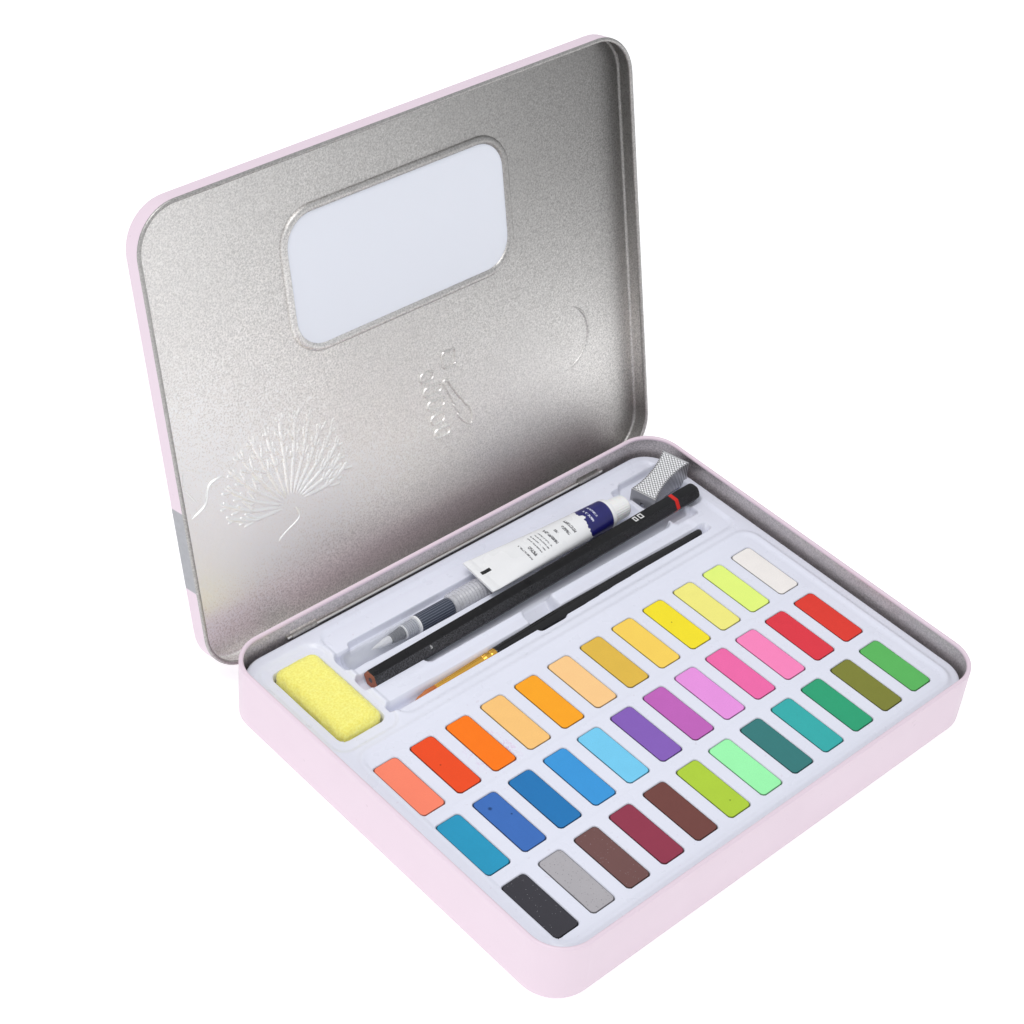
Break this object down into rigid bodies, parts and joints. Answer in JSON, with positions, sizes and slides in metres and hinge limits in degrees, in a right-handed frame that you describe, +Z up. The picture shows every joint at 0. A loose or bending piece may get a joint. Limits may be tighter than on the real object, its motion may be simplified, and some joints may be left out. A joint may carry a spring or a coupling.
{
  "type": "watercolor pan set",
  "caption": "Hinged metal tin with a windowed lid holding rows of watercolour cakes in a formed tray, with sponge, pencil, brushes, paint tube and sharpener in wells.",
  "frame": {"origin": "centre of the flat underside of the tin", "axes": "+X along the hinge, to the right when seen from the front; +Y from the front of the tin towards the hinge; +Z up"},
  "size_m": [0.234, 0.2348, 0.196],
  "materials": {
    "tin_paint": "pale pink gloss paint outside, bare tinplate inside",
    "steel_wire": "drawn steel wire",
    "lid_metal": "pale pink gloss paint outside, bare satin tinplate inside",
    "window_film": "clear plastic sheet",
    "tray_plastic": "thin formed white plastic sheet, semi-gloss",
    "paint_salmon": "dry matt watercolour cake",
    "paint_red_orange": "dry matt watercolour cake",
    "paint_orange": "dry matt watercolour cake",
    "paint_light_peach": "dry matt watercolour cake",
    "paint_orange_yellow": "dry matt watercolour cake",
    "paint_peach": "dry matt watercolour cake",
    "paint_mustard": "dry matt watercolour cake",
    "paint_amber": "dry matt watercolour cake",
    "paint_yellow": "dry matt watercolour cake",
    "paint_pale_yellow": "dry matt watercolour cake",
    "paint_lime_yellow": "dry matt watercolour cake",
    "paint_cream": "dry matt watercolour cake",
    "paint_teal_blue": "dry matt watercolour cake",
    "paint_cobalt": "dry matt watercolour cake",
    "paint_deep_blue": "dry matt watercolour cake",
    "paint_sky_blue": "dry matt watercolour cake",
    "paint_light_cyan": "dry matt watercolour cake",
    "paint_violet": "dry matt watercolour cake",
    "paint_magenta_purple": "dry matt watercolour cake",
    "paint_orchid": "dry matt watercolour cake",
    "paint_hot_pink": "dry matt watercolour cake",
    "paint_pink": "dry matt watercolour cake",
    "paint_crimson": "dry matt watercolour cake",
    "paint_red": "dry matt watercolour cake",
    "paint_black": "dry matt watercolour cake",
    "paint_grey": "dry matt watercolour cake",
    "paint_brown": "dry matt watercolour cake",
    "paint_maroon": "dry matt watercolour cake",
    "paint_dark_brown": "dry matt watercolour cake",
    "paint_lime_green": "dry matt watercolour cake",
    "paint_mint": "dry matt watercolour cake",
    "paint_dark_teal": "dry matt watercolour cake",
    "paint_teal": "dry matt watercolour cake",
    "paint_green": "dry matt watercolour cake",
    "paint_olive": "dry matt watercolour cake",
    "paint_light_green": "dry matt watercolour cake",
    "sponge_foam": "open-cell foam",
    "pencil_lacquer": "black lacquered wood",
    "graphite": "graphite",
    "brush_lacquer": "black lacquered wood",
    "gold_ferrule": "polished gold-coloured metal",
    "brush_hair": "orange-brown synthetic hair",
    "clear_cap": "clear plastic",
    "dark_nozzle": "dark grey plastic",
    "white_hair": "white nylon hair",
    "grip_plastic": "dark blue-grey plastic",
    "clear_barrel": "clear flexible plastic",
    "tube_laminate": "white laminate tube with a blue band",
    "tube_cap_plastic": "white plastic",
    "sharpener_metal": "cast light metal with a crossed knurl",
    "blade_steel": "ground steel",
    "screw_steel": "plated steel"
  },
  "bodies": {
    "tin": {"base_shell": "tin_paint", "hinge_rod": "steel_wire"},
    "lid": {"lid_shell": "lid_metal", "window_film": "window_film"},
    "tray_set": {"tray": "tray_plastic", "cake_row1_01": "paint_salmon", "cake_row1_02": "paint_red_orange", "cake_row1_03": "paint_orange", "cake_row1_04": "paint_light_peach", "cake_row1_05": "paint_orange_yellow", "cake_row1_06": "paint_peach", "cake_row1_07": "paint_mustard", "cake_row1_08": "paint_amber", "cake_row1_09": "paint_yellow", "cake_row1_10": "paint_pale_yellow", "cake_row1_11": "paint_lime_yellow", "cake_row1_12": "paint_cream", "cake_row2_01": "paint_teal_blue", "cake_row2_02": "paint_cobalt", "cake_row2_03": "paint_deep_blue", "cake_row2_04": "paint_sky_blue", "cake_row2_05": "paint_light_cyan", "cake_row2_06": "paint_violet", "cake_row2_07": "paint_magenta_purple", "cake_row2_08": "paint_orchid", "cake_row2_09": "paint_hot_pink", "cake_row2_10": "paint_pink", "cake_row2_11": "paint_crimson", "cake_row2_12": "paint_red", "cake_row3_01": "paint_black", "cake_row3_02": "paint_grey", "cake_row3_03": "paint_brown", "cake_row3_04": "paint_maroon", "cake_row3_05": "paint_dark_brown", "cake_row3_06": "paint_lime_green", "cake_row3_07": "paint_mint", "cake_row3_08": "paint_dark_teal", "cake_row3_09": "paint_teal", "cake_row3_10": "paint_green", "cake_row3_11": "paint_olive", "cake_row3_12": "paint_light_green"},
    "sponge": {"sponge": "sponge_foam"},
    "pencil": {"pencil_casing": "pencil_lacquer", "pencil_lead": "graphite"},
    "brush": {"brush_handle": "brush_lacquer", "brush_ferrule": "gold_ferrule", "brush_bristles": "brush_hair"},
    "water_brush": {"water_brush_cap": "clear_cap", "water_brush_nozzle": "dark_nozzle", "water_brush_bristles": "white_hair", "water_brush_grip": "grip_plastic", "water_brush_barrel": "clear_barrel"},
    "paint_tube": {"tube_body": "tube_laminate"},
    "tube_cap": {"tube_cap": "tube_cap_plastic"},
    "sharpener": {"sharpener_body": "sharpener_metal", "sharpener_blade": "blade_steel", "sharpener_screw": "screw_steel"}
  },
  "joints": [
    {"name": "lid_hinge", "type": "hinge", "parent": "tin", "child": "lid", "pos_m": [0, 0.0905, 0.0173], "axis": [-1, 0, 0], "range_deg": [-103.5, 0]},
    {"name": "tray_lift", "type": "slide", "parent": "tin", "child": "tray_set", "axis": [0, 0, 1], "range_m": [0, 0.05]},
    {"name": "sponge_lift", "type": "slide", "parent": "tray_set", "child": "sponge", "axis": [0, 0, 1], "range_m": [0, 0.05]},
    {"name": "pencil_lift", "type": "slide", "parent": "tray_set", "child": "pencil", "axis": [0, 0, 1], "range_m": [0, 0.05]},
    {"name": "brush_lift", "type": "slide", "parent": "tray_set", "child": "brush", "axis": [0, 0, 1], "range_m": [0, 0.05]},
    {"name": "water_brush_lift", "type": "slide", "parent": "tray_set", "child": "water_brush", "axis": [0, 0, 1], "range_m": [0, 0.05]},
    {"name": "paint_tube_lift", "type": "slide", "parent": "water_brush", "child": "paint_tube", "axis": [0, 0, 1], "range_m": [0, 0.05]},
    {"name": "tube_cap_turn", "type": "hinge", "parent": "paint_tube", "child": "tube_cap", "pos_m": [0.0625, 0.0672, 0.0197], "axis": [0.9994, -0.0203, -0.0297], "range_deg": [0, 540]},
    {"name": "sharpener_lift", "type": "slide", "parent": "tray_set", "child": "sharpener", "axis": [0, 0, 1], "range_m": [0, 0.05]}
  ]
}
